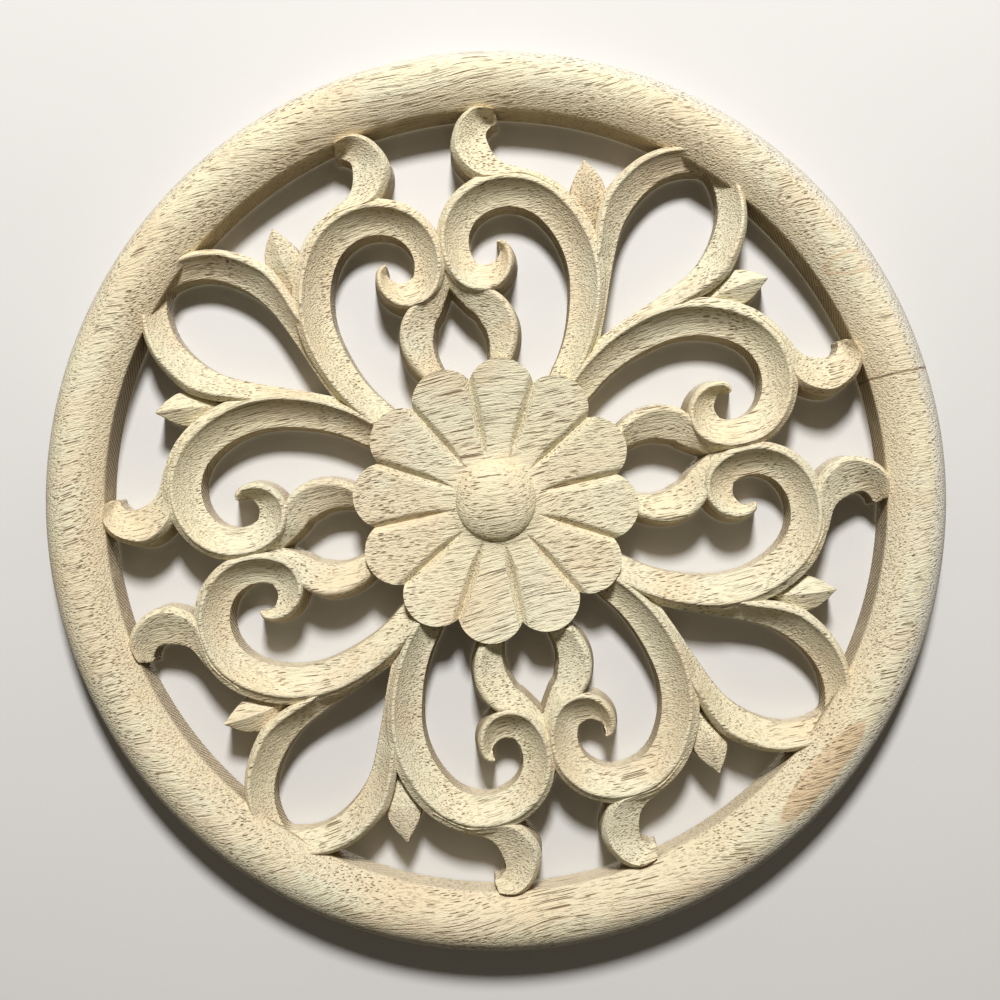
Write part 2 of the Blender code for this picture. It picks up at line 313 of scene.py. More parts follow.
def scroll(side):
    """One C-scroll; side is 1 or -1."""
    inner = [6.3, 7.1, 9.7, 10.0, 9.1, 8.5, 8.6, 7.9, 5.1, 2.9, 2.8, 0.6]
    lip = [1.8, 1.8, 1.8, 2.2, 2.0, 1.8, 1.8, 1.9, 1.7, 1.1, 0.8, 0.2]
    fall = [4.0, 5.2, 6.5, 6.5, 6.5, 6.3, 6.3, 5.8, 4.9, 3.4, 2.7, 0.4]
    rungs = []
    for place in SCROLL_PATH:
        width = blend(inner, place[3])
        band = blend(lip, place[3])
        high = crest(place[3])
        size = min(1.0, (width + band) / FULL_BEAD_WIDTH)
        half = BEAD_HALF * size
        top = BEAD_TOP * size
        middle = bead_middle(place[3])
        outer = min(-band, middle - half - LEAST_BAND)
        foot = high - BEAD_DROP * size
        edge = min(foot, high - BAND_DROP * size)
        hollow = cove(middle + half, width, foot, high - blend(fall, place[3]))
        corners = [(outer, 0.0, 0.0), (outer, edge, SOFT), (middle - half, foot, 0.0)]
        corners += [(middle - top, high, CRISP), (middle + top, high, CRISP)]
        corners += [(middle + half, foot, 0.0)]
        corners += [(offset, depth, 0.0) for offset, depth in hollow[:-1]]
        corners += [(*hollow[-1], SOFT), (width, 0.0, 0.0)]
        section = filed(corners)[1:-1]
        rungs.append([(*beside(place, offset), depth) for offset, depth in section])
    return strand("scroll", rungs, side, leans=(CURL_LEAN, LEAN))


# %% [markdown]
# ## The tulip
# Two mirrored arms spring from the foot of the scrolls and close under the rim.  The path
# is the edge of the opening between them.  Low down, the arm's face climbs from that edge
# right up to the ridge of the scroll, so the two share one crest; past the bud the arm has
# a ridge of its own, with a band falling away outside it.

# %% Tulip arms
ARM_FACE_STEPS = 7
ARM_FACE_POWER = 1.35
ARM_EDGE_DROP = 2.2
ARM_LEAST_RISE = 2.0
HOLE_LEAN = 0.1
SHARED_WIDTH = 1.5
SHARED_FADE = 0.8
SHARED_LEGS = 4.0
LEAST_BEAD = 0.03
NEARLY_PARALLEL = 1e-6


def straight(values, place):
    """A value between numbers given at the ends of the legs, in straight lines."""
    index = min(int(place), len(values) - 2)
    return mix(values[index], values[index + 1], place - index)


def reach(place, path):
    """How far to the right of a place another path is crossed, and where on that path."""
    x, y, heading, _ = place
    right = Vector((math.sin(heading), -math.cos(heading)))
    nearest = (math.inf, 0.0)
    for start, end in zip(path, path[1:]):
        along = Vector((end[0] - start[0], end[1] - start[1]))
        gap = Vector((start[0] - x, start[1] - y))
        turned = right.cross(along)
        if abs(turned) < NEARLY_PARALLEL:
            continue
        distance = gap.cross(along) / turned
        share = gap.cross(right) / turned
        if 0.0 <= share <= 1.0 and 0.0 < distance < nearest[0]:
            nearest = (distance, mix(start[3], end[3], share))
    return nearest


def tulip_arm(side):
    """One arm of the tulip, from the rosette to the rim."""
    legs = [
        (400.0, -1.65),
        (400.0, -1.4),
        (400.0, -1.0),
        (250.0, 3.5),
        (35.0, 19.0),
        (35.0, 19.0),
        (21.0, 42.4),
        (40.0, 6.0),
    ]
    face_width = [9.0, 9.0, 9.0, 5.0, 6.1, 8.3, 8.0, 6.3, 5.8]
    band = [0.3, 0.3, 0.3, 0.9, 1.9, 2.4, 1.9, 1.6, 1.5]
    hole_depth = [12.2, 12.6, 12.4, 11.4, 9.8, 9.0, 8.6, 8.8, 9.2]
    ridge_depth = [16.0, 16.0, 16.0, 16.0, 15.9, 15.8, 15.4, 14.0, 13.4]
    shared_drop = [3.6, 2.0, 1.2, 1.1, 1.1, 1.1, 1.1, 1.1, 1.1]
    shared_path = [spot for spot in SCROLL_PATH if spot[3] <= SHARED_LEGS]
    rungs = []
    for place in arc_chain((-4.1, 53.6), 70.4, legs):
        offset = straight(face_width, place[3])
        outer = offset + straight(band, place[3])
        low = blend(hole_depth, place[3])
        high = blend(ridge_depth, place[3])
        distance, leg = reach(place, shared_path)
        touching = distance + bead_middle(leg) - BEAD_HALF
        own = min(1.0, max(LEAST_BEAD, (touching - offset) / SHARED_FADE))
        if touching < offset:
            offset = touching
            outer = min(outer, offset + SHARED_WIDTH)
            high = crest(leg) - straight(shared_drop, place[3])
            low = min(low, high - ARM_LEAST_RISE)
        foot = offset - BEAD_HALF * own
        top = BEAD_TOP * own
        corners = [(0.0, 0.0, 0.0), (0.0, low, SOFT)]
        for tick in range(1, ARM_FACE_STEPS + 1):
            share = tick / ARM_FACE_STEPS
            rise = share ** ARM_FACE_POWER
            corners.append((foot * share, mix(low, high - BEAD_DROP * own, rise), 0.0))
        corners += [(offset - top, high, CRISP * own), (offset + top, high, CRISP * own)]
        corners += [(outer, high - ARM_EDGE_DROP, SOFT), (outer, 0.0, 0.0)]
        section = filed(corners)[1:-1]
        rungs.append([(*beside(place, along), depth) for along, depth in section])
    return strand("tulip_arm", rungs, side, leans=(HOLE_LEAN, LEAN))


# %% [markdown]
# ## The root strands
# An S-shaped strand comes out from under the petals and carries the foot of each scroll.
# Its face slopes gently from an outer ridge to the drop-shaped gap.

# %% Root strands
ROOT_BAND = [(1.0, 0.65), (0.55, 0.14)]
ROOT_FACE_STEPS = 6
ROOT_FACE_POWER = 0.85
ROOT_FALL = 4.6
ROOT_LEAN = 1.3
DROP_LEAN = 1.0


def root_strand(side):
    """One S-shaped root strand beside the drop-shaped gap."""
    legs = [
        (90.0, -5.0),
        (19.3, -27.0),
        (14.0, -40.0),
        (14.0, -40.0),
        (11.4, 16.5),
        (11.4, 16.5),
        (11.4, 32.0),
    ]
    right = [3.0, 6.2, 8.6, 9.2, 7.5, 5.1, 3.9, 3.4]
    left = [2.0, 2.0, 2.0, 1.8, 1.0, 0.6, 0.6, 0.6]
    ridge_depth = [14.0, 14.4, 14.8, 15.2, 15.4, 15.3, 15.2, 15.0]
    rungs = []
    for place in arc_chain((22.3, 34.7), 87.5, legs):
        high = blend(ridge_depth, place[3])
        low = high - ROOT_FALL
        band = blend(left, place[3])
        width = blend(right, place[3])
        corners = [(-band, 0.0, 0.0)]
        corners += [(-share * band, high - fall * band, SOFT) for share, fall in ROOT_BAND]
        corners += [(0.0, high, CRISP)]
        for tick in range(1, ROOT_FACE_STEPS):
            share = tick / ROOT_FACE_STEPS
            corners.append((width * share, mix(high, low, share ** ROOT_FACE_POWER), 0.0))
        corners += [(width, low, SOFT), (width, 0.0, 0.0)]
        section = filed(corners)[1:-1]
        rungs.append([(*beside(place, offset), depth) for offset, depth in section])
    return strand("root_strand", rungs, side, leans=(ROOT_LEAN, DROP_LEAN))


# %% [markdown]
# ## The hooked leaf
# A flat leaf grows out of the scroll's widening lip, swings up to the rim and ends in a
# small barb.  It is set out by its two edges, each a smooth curve through a few points.

# %% Hooked leaves
LEAF_STEPS = 10
LEAF_FACE_STEPS = 5
LEAF_FACE_POWER = 1.3
LEAF_LIP = 1.9
LEAF_LIP_SHARE = 0.25
LEAF_LIP_SLOPE = 1.4
LEAF_LAST = 6.0
LEAF_END_SHARE = 0.45
LEAF_END_FALL = 0.8


def curve_through(points, steps):
    """A smooth curve through a few points."""
    count = (len(points) - 1) * steps
    across = [point[0] for point in points]
    along = [point[1] for point in points]
    return [(blend(across, i / steps), blend(along, i / steps)) for i in range(count + 1)]


def hook_leaf(side):
    """One hooked leaf between a scroll and the rim."""
    left = [
        (38.0, 99.0),
        (49.5, 98.4),
        (60.0, 96.0),
        (68.0, 100.4),
        (68.7, 104.4),
        (67.7, 106.5),
        (69.2, 108.3),
    ]
    right = [
        (38.0, 97.8),
        (50.5, 95.6),
        (62.0, 86.4),
        (73.8, 88.6),
        (78.5, 97.5),
        (77.2, 105.4),
        (71.3, 108.7),
    ]
    left_depth = [13.5, 13.2, 12.0, 10.4, 9.2, 8.2, 11.0]
    right_depth = [15.2, 15.4, 15.6, 15.6, 15.5, 15.3, 15.0]
    sides = zip(curve_through(left, LEAF_STEPS), curve_through(right, LEAF_STEPS))
    rungs = []
    for index, (near, far) in enumerate(sides):
        place = index / LEAF_STEPS
        low = blend(left_depth, place)
        high = blend(right_depth, place)
        span = math.dist(near, far)
        lip = min(LEAF_LIP, span * LEAF_LIP_SHARE)
        clip = LEAF_END_FALL * max(0.0, 1.0 - (LEAF_LAST - place) / LEAF_END_SHARE)
        low -= clip
        high -= clip
        corners = [(0.0, 0.0, 0.0), (0.0, low, SOFT)]
        for tick in range(1, LEAF_FACE_STEPS):
            share = tick / LEAF_FACE_STEPS
            corners.append(((span - lip) * share, mix(low, high, share ** LEAF_FACE_POWER), 0.0))
        corners += [(span - lip, high, CRISP), (span, high - LEAF_LIP_SLOPE * lip, SOFT)]
        corners += [(span, 0.0, 0.0)]
        across = Vector(far) - Vector(near)
        rung = []
        for offset, depth in filed(corners)[1:-1]:
            point = Vector(near) + across * (offset / span)
            rung.append((*point, depth))
        rungs.append(rung)
    return strand("hook_leaf", rungs, side)


# %% [markdown]
# ## The bud
# A small pointed leaf lies in the fork between tulip and scroll: two facets that meet in a
# rib along the middle.  It is a strand like the others, only short and nearly straight.

# %% Buds
BUD_STEP = 0.9
BUD_FALL = 3.6
BUD_SLOPE = 0.62
BUD_BELLY = 0.4


def bud(side):
    """One bud in the fork beside the tulip."""
    legs = [(120.0, turn) for turn in (-4.0, -2.5, -2.2, -1.8, -1.6)]
    half_width = [2.6, 4.8, 6.0, 5.2, 3.0, 0.4]
    rib_depth = [9.6, 12.4, 14.4, 14.7, 14.3, 13.4]
    rungs = []
    for place in arc_chain((20.8, 90.6), 59.0, legs, step=BUD_STEP):
        half = blend(half_width, place[3])
        high = blend(rib_depth, place[3])
        low = high - min(BUD_FALL, half * BUD_SLOPE)
        belly = mix(low, high, BUD_BELLY)
        corners = [(-half, 0.0, 0.0), (-half, low, SOFT)]
        corners += [(-half * 0.5, belly, 0.0), (0.0, high, CRISP), (half * 0.5, belly, 0.0)]
        corners += [(half, low, SOFT), (half, 0.0, 0.0)]
        section = filed(corners)[1:-1]
        rungs.append([(*beside(place, offset), depth) for offset, depth in section])
    return strand("bud", rungs, side)


# %% [markdown]
# ## The rim
# The rim is a half-round moulding that is lower inside than outside.  Its section is spun
# about the panel's axis; a quarter and a little more is enough, because the carving is
# mirrored later.

# %% Rim
RIM_BACK = 129.5
RIM_INNER = 129.9
RIM_CROWN = 141.0
RIM_FALL = 5.4
RIM_SHOULDER_DEPTH = DEEP - 9.0
RIM_START = math.radians(3.0)
RIM_SPAN = math.radians(96.0)
RIM_INNER_STEPS = 8
RIM_OUTER_STEPS = 9
RIM_TICKS = 84


def rim():
    """A little more than a quarter of the rim."""
    outer = OUTER_RADIUS / MM
    inner_run = RIM_CROWN - RIM_INNER
    corners = [(RIM_BACK, 0.0, 0.0), (RIM_INNER, DEEP - RIM_FALL, SOFT)]
    for tick in range(1, RIM_INNER_STEPS):
        share = 1.0 - tick / RIM_INNER_STEPS
        corners.append((RIM_CROWN - inner_run * share, DEEP - RIM_FALL * share * share, 0.0))
    for tick in range(RIM_OUTER_STEPS):
        angle = math.radians(90.0) * tick / RIM_OUTER_STEPS
        run = (outer - RIM_CROWN) * math.sin(angle)
        rise = (DEEP - RIM_SHOULDER_DEPTH) * math.cos(angle)
        corners.append((RIM_CROWN + run, RIM_SHOULDER_DEPTH + rise, 0.0))
    corners += [(outer, RIM_SHOULDER_DEPTH, 0.0), (outer, 0.0, 0.0)]
    section = filed(corners)
    maker = bmesh.new()
    verts = [maker.verts.new((radius * MM, -depth * MM, 0.0)) for radius, depth in section]
    start = maker.faces.new(verts)
    turn = Matrix.Rotation(RIM_START, 4, "Y")
    bmesh.ops.transform(maker, matrix=turn, verts=verts)
    bmesh.ops.spin(
        maker,
        geom=[start],
        cent=(0.0, 0.0, 0.0),
        axis=(0.0, 1.0, 0.0),
        angle=-RIM_SPAN,
        steps=RIM_TICKS,
        use_merge=False,
        use_duplicate=False,
    )
    bmesh.ops.triangulate(maker, faces=maker.faces)
    print(f"rim: section of {len(section)} points, spun in {RIM_TICKS} steps")
    return as_object(maker, "rim")


# %% [markdown]
# ## The rosette
# Twelve petals lie round a low dome.  The petals are nearly flat across, dished along the
# radius, and parted by V-cuts that run out in a point beside the dome.  The disc is grown
# ring by ring: each new ring is extruded from the last one and set to its own depth.

# %% Rosette
PETALS = 12
PETAL_TURN = math.tau / PETALS
PETAL_COLUMNS = 28
PETAL_END_CENTRE = 36.0
PETAL_END_RADIUS = 11.2
PETAL_DISH_DEPTH = DEEP - 5.6
PETAL_RIM_DEPTH = DEEP - 2.2
DOME_RADIUS = 13.4
DOME_RINGS = 10
PETAL_RINGS = 20
FOOT_WIDTH = 2.5
FOOT_RISE = 0.7
PETAL_FLAT_SHARE = 0.1
PETAL_DISH_POWER = 1.5
PETAL_EDGE_WIDTH = 4.0
PETAL_EDGE_DROP = 0.25
COLUMN_CROWDING = 1.5
GROOVE_START = 15.5
GROOVE_OPENING_LENGTH = 9.0
GROOVE_OPENING_POWER = 0.6
GROOVE_HALF_WIDTH = 1.9
GROOVE_DEPTH = 2.1
DOME_ARC = math.radians(83.0)


def petal_end(offset):
    """Radius of the rounded end, at an angle from the petal's middle."""
    aside = PETAL_END_CENTRE * math.sin(offset)
    return PETAL_END_CENTRE * math.cos(offset) + math.sqrt(PETAL_END_RADIUS ** 2 - aside ** 2)


def petal_depth(radius, offset):
    """Depth of a petal's face at a radius and at an angle from the petal's middle."""
    share = (radius - DOME_RADIUS) / (petal_end(0.0) - DOME_RADIUS)
    rise = max(0.0, (share - PETAL_FLAT_SHARE) / (1.0 - PETAL_FLAT_SHARE))
    foot = max(0.0, 1.0 - (radius - DOME_RADIUS) / FOOT_WIDTH)
    depth = mix(PETAL_DISH_DEPTH, PETAL_RIM_DEPTH, rise ** PETAL_DISH_POWER)
    depth += FOOT_RISE * foot ** 2
    edge = (PETAL_TURN / 2.0 - abs(offset)) * radius
    opened = min(1.0, max(0.0, (radius - GROOVE_START) / GROOVE_OPENING_LENGTH))
    opening = opened ** GROOVE_OPENING_POWER
    width = GROOVE_HALF_WIDTH * opening + 0.001
    cut = max(0.0, 1.0 - edge / width)
    roll = max(0.0, 1.0 - edge / PETAL_EDGE_WIDTH)
    return depth - GROOVE_DEPTH * opening * cut - PETAL_EDGE_DROP * opening * roll * roll


def rosette():
    """The rosette, grown outwards from the top of its dome."""
    columns = []
    for petal in range(PETALS):
        middle = (petal + 0.5) * PETAL_TURN
        for tick in range(PETAL_COLUMNS):
            spread = 2.0 * tick / PETAL_COLUMNS - 1.0
            bent = math.copysign(1.0 - (1.0 - abs(spread)) ** COLUMN_CROWDING, spread)
            columns.append((middle, bent * PETAL_TURN / 2.0))
    maker = bmesh.new()
    bmesh.ops.create_circle(
        maker, cap_ends=True, cap_tris=True, segments=len(columns), radius=1.0
    )
    ring = sorted(
        (vert for vert in maker.verts if vert.is_boundary),
        key=lambda vert: math.atan2(vert.co.y, vert.co.x) % math.tau,
    )
    centre = next(vert for vert in maker.verts if not vert.is_boundary)

    def place(vert, column, radius, depth):
        angle = columns[column][0] + columns[column][1]
        vert.co = (radius * math.cos(angle) * MM, -depth * MM, radius * math.sin(angle) * MM)

    def grow(ring):
        """Extrude the border; give back its new points in the order of the old ones."""
        known = {vert: index for index, vert in enumerate(ring)}
        border = [edge for edge in maker.edges if edge.is_boundary]
        fresh = bmesh.ops.extrude_edge_only(maker, edges=border)["geom"]
        grown = [None] * len(ring)
        for vert in fresh:
            if isinstance(vert, bmesh.types.BMVert):
                for edge in vert.link_edges:
                    if edge.other_vert(vert) in known:
                        grown[known[edge.other_vert(vert)]] = vert
        return grown

    top = petal_depth(DOME_RADIUS, 0.0)
    rise = DEEP - top
    centre.co = (0.0, -DEEP * MM, 0.0)
    for step in range(1, DOME_RINGS + 1):
        if step > 1:
            ring = grow(ring)
        angle = DOME_ARC * step / DOME_RINGS
        radius = DOME_RADIUS * math.sin(angle) / math.sin(DOME_ARC)
        fallen = (1.0 - math.cos(angle)) / (1.0 - math.cos(DOME_ARC))
        for column, vert in enumerate(ring):
            place(vert, column, radius, DEEP - rise * fallen)
    for step in range(1, PETAL_RINGS + 1):
        ring = grow(ring)
        share = step / PETAL_RINGS
        for column, vert in enumerate(ring):
            offset = columns[column][1]
            radius = mix(DOME_RADIUS, petal_end(offset), share)
            place(vert, column, radius, petal_depth(radius, offset))
    ring = grow(ring)
    for column, vert in enumerate(ring):
        place(vert, column, petal_end(columns[column][1]), 0.0)
    bmesh.ops.holes_fill(
        maker, edges=[edge for edge in maker.edges if edge.is_boundary], sides=len(ring)
    )
    bmesh.ops.triangulate(maker, faces=maker.faces)
    print(f"rosette: {PETALS} petals, {len(columns)} points in each ring")
    return as_object(maker, "rosette")


# %% [markdown]
# ## One carving
# Everything is one piece of wood, so the strands are united exactly with the rim and the
# rosette.  Only a quarter is built in full; two mirrors complete it.

# %% Joining and mirroring
SAME_PLACE = 0.02 * MM


def bake(item):
    """Turn an object's modifiers into plain mesh."""
    bpy.context.view_layer.update()
    graph = bpy.context.evaluated_depsgraph_get()
    mesh = bpy.data.meshes.new_from_object(item.evaluated_get(graph))
    item.modifiers.clear()
    item.data = mesh


def united(base, others):
    """Join solids to the first one, one after another."""
    for other in others:
        join = base.modifiers.new("join", "BOOLEAN")
        join.operation = "UNION"
        join.solver = "EXACT"
        join.object = other
        bake(base)
        bpy.data.objects.remove(other, do_unlink=True)


def mirrored(item):
    """Keep the quarter towards +X and +Z and mirror it across both planes."""
    mirror = item.modifiers.new("mirror", "MIRROR")
    mirror.use_axis = (True, False, True)
    mirror.use_bisect_axis = (True, False, True)
    mirror.use_clip = True
    mirror.use_mirror_merge = True
    mirror.merge_threshold = SAME_PLACE
    mirror.bisect_threshold = SAME_PLACE / 10.0
    bake(item)


panel = rim()
strands = []
for side in (1.0, -1.0):
    strands += [tulip_arm(side), bud(side), hook_leaf(side), root_strand(side), scroll(side)]
united(panel, [rosette()] + strands)
print(f"quarter: {len(panel.data.polygons)} faces")
mirrored(panel)
panel.name = "carving"
print(f"whole carving: {len(panel.data.polygons)} faces")

# %% [markdown]
# ## Cleaning up
# Exact unions leave a few stray doubles, in an order that changes from run to run.  The
# points, edges and faces are sorted first, and the doubles are welded.  Then the faces are
# turned outwards, and every crease sharper than a sanded edge is marked, so that the rest
# shades smooth.

# %% Welding and smooth shading
SHARP = math.radians(38.0)
SORTING = (7.1, 131.7, 1.3)


def sort_by_place(maker):
    """Put points, edges and faces in one order, so that every run welds them alike."""
    maker.verts.sort(key=lambda vert: sum(weight * part for weight, part in zip(SORTING, vert.co)))
    maker.verts.index_update()
    count = len(maker.verts)

    def rank(item):
        """A number made from the lowest, the highest and the sum of an item's points."""
        numbers = sorted(vert.index for vert in item.verts)
        return (numbers[0] * count + numbers[-1]) * count + sum(numbers) % count

    maker.edges.sort(key=rank)
    maker.faces.sort(key=rank)


def tidied(item):
    """Weld doubles, turn the faces outwards and shade the mesh."""
    maker = bmesh.new()
    maker.from_mesh(item.data)
    sort_by_place(maker)
    bmesh.ops.remove_doubles(maker, verts=maker.verts, dist=SAME_PLACE)
    bmesh.ops.dissolve_degenerate(maker, edges=maker.edges, dist=SAME_PLACE)
    bmesh.ops.triangulate(maker, faces=maker.faces)
    bmesh.ops.recalc_face_normals(maker, faces=maker.faces)
    loose = sum(1 for edge in maker.edges if not edge.is_manifold)
    maker.to_mesh(item.data)
    maker.free()
    item.data.shade_smooth()
    item.data.set_sharp_from_angle(angle=SHARP)
    print(f"{item.name}: {len(item.data.polygons)} triangles, {loose} open edges")


tidied(panel)

# %% [markdown]
# ## Raw wood
# The carving is bare, pale wood, straight from the chisel and a little sandpaper.  Its
# look comes from the grain, which runs one way through the whole board whatever the shape
# of the carving, so the material is built on the object's own coordinates.  The maths of
# a material soon fills many nodes; a small class lets it be written as plain arithmetic.

# %% Nodes as arithmetic
class Value:
    """A value on its way through a material, used in ordinary arithmetic."""

    def __init__(self, finish, socket):
        self.finish = finish
        self.socket = socket

    def maths(self, operation, first, second):
        """One Math node, from values or plain numbers."""
        return self.finish.node("ShaderNodeMath", {"operation": operation}, [first, second])

    def __add__(self, other):
        return self.maths("ADD", self, other)

    def __radd__(self, other):
        return self.maths("ADD", other, self)

    def __sub__(self, other):
        return self.maths("SUBTRACT", self, other)

    def __rsub__(self, other):
        return self.maths("SUBTRACT", other, self)

    def __mul__(self, other):
        return self.maths("MULTIPLY", self, other)

    def __rmul__(self, other):
        return self.maths("MULTIPLY", other, self)

    def __truediv__(self, other):
        return self.maths("DIVIDE", self, other)

    def __rtruediv__(self, other):
        return self.maths("DIVIDE", other, self)

    def __pow__(self, other):
        return self.maths("POWER", self, other)

    def size(self):
        """The value without its sign."""
        return self.maths("ABSOLUTE", self, 0.0)

    def wave(self):
        """The sine of the value, from -1 to 1."""
        return self.maths("SINE", self, 0.0)

    def rising(self, low, high):
        """From 0 below one level to 1 above another, smoothly."""
        settings = {"interpolation_type": "SMOOTHSTEP"}
        return self.finish.node("ShaderNodeMapRange", settings, [self, low, high, 0.0, 1.0])

    def within(self, middle, half, soft):
        """1 near a level and 0 away from it."""
        return 1.0 - (self - middle).size().rising(half, half + soft)


class Finish:
    """A material whose nodes are added one by one."""

    def __init__(self, name):
        self.material = bpy.data.materials.new(name)
        self.material.use_nodes = True
        self.tree = self.material.node_tree
        self.shader = self.tree.nodes["Principled BSDF"]

    def node(self, kind, settings, inputs, output=0):
        """Add a node: its settings first, then its inputs; give back one output."""
        made = self.tree.nodes.new(kind)
        for name, choice in settings.items():
            setattr(made, name, choice)
        entries = inputs.items() if isinstance(inputs, dict) else enumerate(inputs)
        for place, content in entries:
            self.feed(made.inputs[place], content)
        return Value(self, made.outputs[output])

    def feed(self, socket, content):
        """Link a value to a socket, or set the socket to a plain number or colour."""
        if isinstance(content, Value):
            self.tree.links.new(content.socket, socket)
        else:
            socket.default_value = content

    def parts(self, vector):
        """The three numbers of a vector."""
        made = self.tree.nodes.new("ShaderNodeSeparateXYZ")
        self.feed(made.inputs[0], vector)
        return [Value(self, made.outputs[index]) for index in range(3)]

    def vector(self, across, back, up):
        """A vector put together from three values."""
        return self.node("ShaderNodeCombineXYZ", {}, [across, back, up])

    def noise(self, vector, scale, detail=2.0, roughness=0.5):
        """Soft noise, about 0.5 on average."""
        settings = {"noise_dimensions": "3D"}
        inputs = {"Vector": vector, "Scale": scale, "Detail": detail, "Roughness": roughness}
        return self.node("ShaderNodeTexNoise", settings, inputs)

    def attribute(self, name):
        """A number kept on the mesh's own points."""
        return self.node("ShaderNodeAttribute", {"attribute_name": name}, {}, "Fac")

    def cells(self, vector, output="Distance"):
        """Scattered cells: the distance to the nearest centre, or each cell's own colour."""
        settings = {"voronoi_dimensions": "3D", "feature": "F1"}
        inputs = {"Vector": vector, "Scale": 1.0, "Randomness": 1.0}
        return self.node("ShaderNodeTexVoronoi", settings, inputs, output)

    def blended(self, share, low, high):
        """One colour turning into another."""
        settings = {"data_type": "RGBA", "blend_type": "MIX"}
        return self.node("ShaderNodeMix", settings, {0: share, 6: low, 7: high}, 2)


operators = [name for name in vars(Value) if name.endswith("__") and name != "__init__"]
print(f"a value knows {len(operators)} special names")


# %% [markdown]
# ### Where on the panel
# The coordinates are taken in millimetres, and the direction of the face tells the carved
# front from the steep sawn walls.

# %% Wood: where on the panel
wood = Finish("raw_pale_hardwood")
coordinates = wood.tree.nodes.new("ShaderNodeTexCoord")
here = Value(wood, coordinates.outputs["Object"])
metres_to_mm = [1.0 / MM] * 3
place = wood.node("ShaderNodeVectorMath", {"operation": "MULTIPLY"}, [here, metres_to_mm])
across, back, up = wood.parts(place)
facing = wood.parts(Value(wood, coordinates.outputs["Normal"]))
steep = 1.0 - facing[1].size().rising(0.35, 0.8)
RIM_EDGE = 144.0
WALL_TOP = 12.8
WALL_FADE = 2.5
radius = (across * across + up * up) ** 0.5
# Steep walls deep down towards the back: this mask places the painted wall shade and the saw marks.
wall_side = steep * (back + WALL_TOP).rising(0.0, WALL_FADE)
print(f"wood: {len(wood.tree.nodes)} nodes for the place")

# %% [markdown]
# ### Grain
# The wood has open vessels, which show as long dark dashes on a face along the board and
# as dots on a cut across it, and between them fine fibres and torn specks.  Stretched
# cells give the vessels and stretched noise the rest.  The grain wanders a little, and the
# small cuts ripple more than the long vessels do.

# %% Wood: grain
WANDER = 14.0
RIPPLE = 2.4
drift = wood.noise(place, 0.012, 1.0)
sway = wood.noise(place, 0.017, 1.0)
ripple = wood.noise(place, 0.13, 2.0)
grain_back = back + (drift - 0.5) * WANDER
grain_up = up + (sway - 0.5) * WANDER
rippled_up = grain_up + (ripple - 0.5) * RIPPLE


def along_grain(length, width, height=grain_up):
    """Coordinates in which a stretched mark of the grain becomes round."""
    return wood.vector(across / length, grain_back / width, height / width)


end_on = facing[0].size().rising(0.3, 0.8)


def marks(length, width, low, high):
    """Spindle-shaped marks lying along the grain, some fainter than others."""
    vector = along_grain(length, width)
    distance = wood.cells(vector)
    chance = wood.parts(wood.cells(vector, "Color"))[0]
    return (1.0 - distance.rising(low, high)) * chance.rising(0.1, 0.6) * (1.0 - end_on * 0.8)


vessels = marks(32.0, 0.74, 0.20, 0.30)
pits = marks(6.0, 0.6, 0.12, 0.30)
hatch = wood.noise(along_grain(4.2, 0.62, rippled_up), 1.0, 2.0, 0.5)
cuts = 1.0 - hatch.rising(0.28, 0.40)
fibre = wood.noise(along_grain(16.0, 0.5), 1.0, 1.0, 0.5)
lines = 1.0 - fibre.rising(0.30, 0.42)
grit = wood.noise(place, 2.3, 1.0, 0.6)
cloud = wood.noise(along_grain(80.0, 16.0), 1.0, 2.0)
flush = wood.noise(place, 0.022, 2.0)
blush = wood.noise(wood.vector(across, back, up + 90.0), 0.035, 2.0)
print(f"wood: {len(wood.tree.nodes)} nodes with the grain")

# %% [markdown]
# ### Marks left by the tools
# A chisel leaves a row of small nicks along each bead, and the saw leaves slanted lines on
# the walls.  The nicks follow the strands, so they use the "run" and "ridge" that were
# kept on the points of each strand when it was built.

# %% Wood: marks left by the tools
NICK_PITCH = 1.15
SAW_PITCH = 1.4
run = wood.attribute("run")
ridge = wood.attribute("ridge")
nicks = (run * (math.tau / NICK_PITCH) + grit * 5.0).wave().rising(0.2, 1.0) * ridge.rising(0.25, 0.8)
side_on = end_on * wall_side
saw = ((up * 0.85 + back * 0.5) * (math.tau / SAW_PITCH) + drift * 9.0 + grit * 1.2).wave()
inside = 1.0 - radius.rising(RIM_EDGE - 8.0, RIM_EDGE)
saw_marks = saw.rising(-0.2, 0.7) * side_on * inside * ripple.rising(0.2, 0.5)
print(f"wood: {len(wood.tree.nodes)} nodes with the tool marks")

# %% [markdown]
# ### A patch, a figure and a glue line
# At the lower right the rim shows a lens of darker, tan wood.  At the upper right a growth
# ring comes out as a small oval, and at the right a thin dark line crosses the rim where
# two boards were glued.  Each is a mask made from the place.

# %% Wood: a patch, a figure and a glue line
PATCH_CENTRE = (85.5, -110.2)
PATCH_TURN = math.radians(38.0)
PATCH_HALF_LENGTH = 21.5
PATCH_HALF_WIDTH = 4.7
off_across = across - PATCH_CENTRE[0]
off_up = up - PATCH_CENTRE[1]
patch_along = off_across * math.cos(PATCH_TURN) + off_up * math.sin(PATCH_TURN)
patch_aside = off_up * math.cos(PATCH_TURN) - off_across * math.sin(PATCH_TURN)
patch_reach = (patch_along / PATCH_HALF_LENGTH) ** 2.0 + (patch_aside / PATCH_HALF_WIDTH) ** 2.0
patch = 1.0 - (patch_reach + (cloud - 0.5) * 0.8).rising(0.8, 1.0)
OVAL_CENTRE = (131.6, 51.4)
OVAL_HALF_LENGTH = 8.8
OVAL_HALF_WIDTH = 3.5
oval_along = (across - OVAL_CENTRE[0]) / OVAL_HALF_LENGTH
oval_aside = (up - OVAL_CENTRE[1]) / OVAL_HALF_WIDTH
